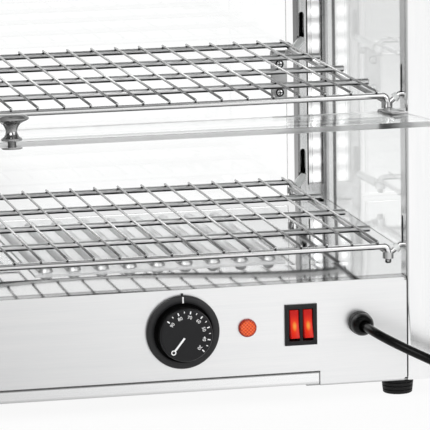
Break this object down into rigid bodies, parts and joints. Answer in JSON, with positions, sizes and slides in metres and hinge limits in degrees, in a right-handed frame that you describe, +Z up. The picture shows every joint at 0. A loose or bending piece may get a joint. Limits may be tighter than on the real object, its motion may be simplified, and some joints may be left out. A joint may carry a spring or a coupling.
{
  "type": "hot food counter",
  "caption": "Countertop warming cabinet with glass sides, wire shelves, hinged glass flaps front and rear, a heated base with a thermostat dial and rocker switches, and slide-out crumb tray.",
  "frame": {"origin": "on the floor under the middle of the whole outline at rest, without the mains lead", "axes": "+X to the right seen from the control side, +Y to the rear, +Z up"},
  "size_m": [0.8545, 0.4898, 0.38],
  "materials": {
    "stainless": "fine brushed stainless sheet",
    "zinc_plate": "dull plated sheet inside the base",
    "clear_glass": "clear toughened glass, slightly green at the edge",
    "chrome_wire": "bright plated wire",
    "chrome_fittings": "bright plated fittings",
    "steel_screws": "plain screws",
    "heater_tube": "heat-darkened tube",
    "white_plastic": "milky plastic",
    "light_cover": "clear plastic cover",
    "light_strip": "white strip with light spots",
    "black_plastic": "black plastic",
    "dial_black": "black moulded dial with white figures",
    "bezel_black": "black ring with a white mark",
    "orange_lens": "faceted orange lens",
    "red_rocker": "translucent red rocker",
    "black_rubber": "black rubber",
    "lead_sheath": "black sheath of the mains lead",
    "pin_metal": "plated plug pins",
    "wire_insulation": "insulated wires"
  },
  "bodies": {
    "cabinet": {"front_panel": "stainless", "rear_panel": "stainless", "side_panels": "stainless", "base_pan": "stainless", "feet": "black_rubber", "base_screws": "steel_screws", "deck": "stainless", "heat_pan": "zinc_plate", "heating_elements": "heater_tube", "element_clips": "zinc_plate", "heater_covers": "stainless", "post_front_left": "stainless", "post_front_right": "stainless", "post_rear_left": "stainless", "post_rear_right": "stainless", "led_strips": "light_strip", "led_covers": "light_cover", "side_glass_left": "clear_glass", "side_glass_right": "clear_glass", "ceiling": "stainless", "roof": "stainless", "shelf_support_pins": "chrome_wire", "shelf_support_sleeves": "white_plastic", "hinge_bushes": "white_plastic", "dial_bezel": "bezel_black", "thermostat_body": "white_plastic", "thermostat_sensor": "steel_screws", "indicator_lens": "orange_lens", "indicator_body": "black_plastic", "switch_frame": "black_plastic", "cable_gland": "black_plastic", "mains_lead": "lead_sheath", "lead_coil": "lead_sheath", "plug": "black_rubber", "plug_pins": "pin_metal", "terminal_block": "white_plastic", "led_driver": "white_plastic", "wiring": "wire_insulation"},
    "dial": {"thermostat_dial": "dial_black", "thermostat_shaft": "steel_screws"},
    "left_rocker": {"rocker_left": "red_rocker"},
    "right_rocker": {"rocker_right": "red_rocker"},
    "crumb_tray": {"crumb_tray": "stainless"},
    "water_tray": {"water_tray": "stainless"},
    "lower_shelf": {"lower_shelf_rails": "chrome_wire", "lower_shelf_wires": "chrome_wire"},
    "upper_shelf": {"upper_shelf_rails": "chrome_wire", "upper_shelf_wires": "chrome_wire"},
    "front_lower_flap": {"front_lower_flap_glass": "clear_glass", "front_lower_flap_hinges": "chrome_fittings", "front_lower_flap_knob": "chrome_fittings"},
    "front_upper_flap": {"front_upper_flap_glass": "clear_glass", "front_upper_flap_hinges": "chrome_fittings", "front_upper_flap_knob": "chrome_fittings"},
    "rear_lower_flap": {"rear_lower_flap_glass": "clear_glass", "rear_lower_flap_hinges": "chrome_fittings", "rear_lower_flap_knob": "chrome_fittings"},
    "rear_upper_flap": {"rear_upper_flap_glass": "clear_glass", "rear_upper_flap_hinges": "chrome_fittings", "rear_upper_flap_knob": "chrome_fittings"}
  },
  "joints": [
    {"name": "dial_turn", "type": "hinge", "parent": "cabinet", "child": "dial", "pos_m": [0.144, -0.12861, 0.06], "axis": [0, 1, 0], "range_deg": [-219, 51.5]},
    {"name": "left_rocker_tilt", "type": "hinge", "parent": "cabinet", "child": "left_rocker", "pos_m": [0.2302, -0.12661, 0.06], "axis": [1, 0, 0], "range_deg": [0, 24]},
    {"name": "right_rocker_tilt", "type": "hinge", "parent": "cabinet", "child": "right_rocker", "pos_m": [0.2408, -0.12661, 0.06], "axis": [1, 0, 0], "range_deg": [0, 24]},
    {"name": "front_lower_flap_swing", "type": "hinge", "parent": "cabinet", "child": "front_lower_flap", "pos_m": [0, -0.12311, 0.2175], "axis": [1, 0, 0], "range_deg": [0, 94.5]},
    {"name": "front_upper_flap_swing", "type": "hinge", "parent": "cabinet", "child": "front_upper_flap", "pos_m": [0, -0.12311, 0.3335], "axis": [1, 0, 0], "range_deg": [0, 94.5]},
    {"name": "rear_lower_flap_swing", "type": "hinge", "parent": "cabinet", "child": "rear_lower_flap", "pos_m": [0, 0.22389, 0.2175], "axis": [1, 0, 0], "range_deg": [0, 94.5]},
    {"name": "rear_upper_flap_swing", "type": "hinge", "parent": "cabinet", "child": "rear_upper_flap", "pos_m": [0, 0.22389, 0.3335], "axis": [1, 0, 0], "range_deg": [0, 94.5]},
    {"name": "crumb_tray_slide", "type": "slide", "parent": "cabinet", "child": "crumb_tray", "axis": [0, -1, 0], "range_m": [0, 0.28]},
    {"name": "water_tray_lift", "type": "slide", "parent": "cabinet", "child": "water_tray", "axis": [0, 0, 1], "range_m": [0, 0.012]},
    {"name": "lower_shelf_lift", "type": "slide", "parent": "cabinet", "child": "lower_shelf", "axis": [0, 0, 1], "range_m": [0, 0.03]},
    {"name": "upper_shelf_lift", "type": "slide", "parent": "cabinet", "child": "upper_shelf", "axis": [0, 0, 1], "range_m": [0, 0.03]}
  ]
}
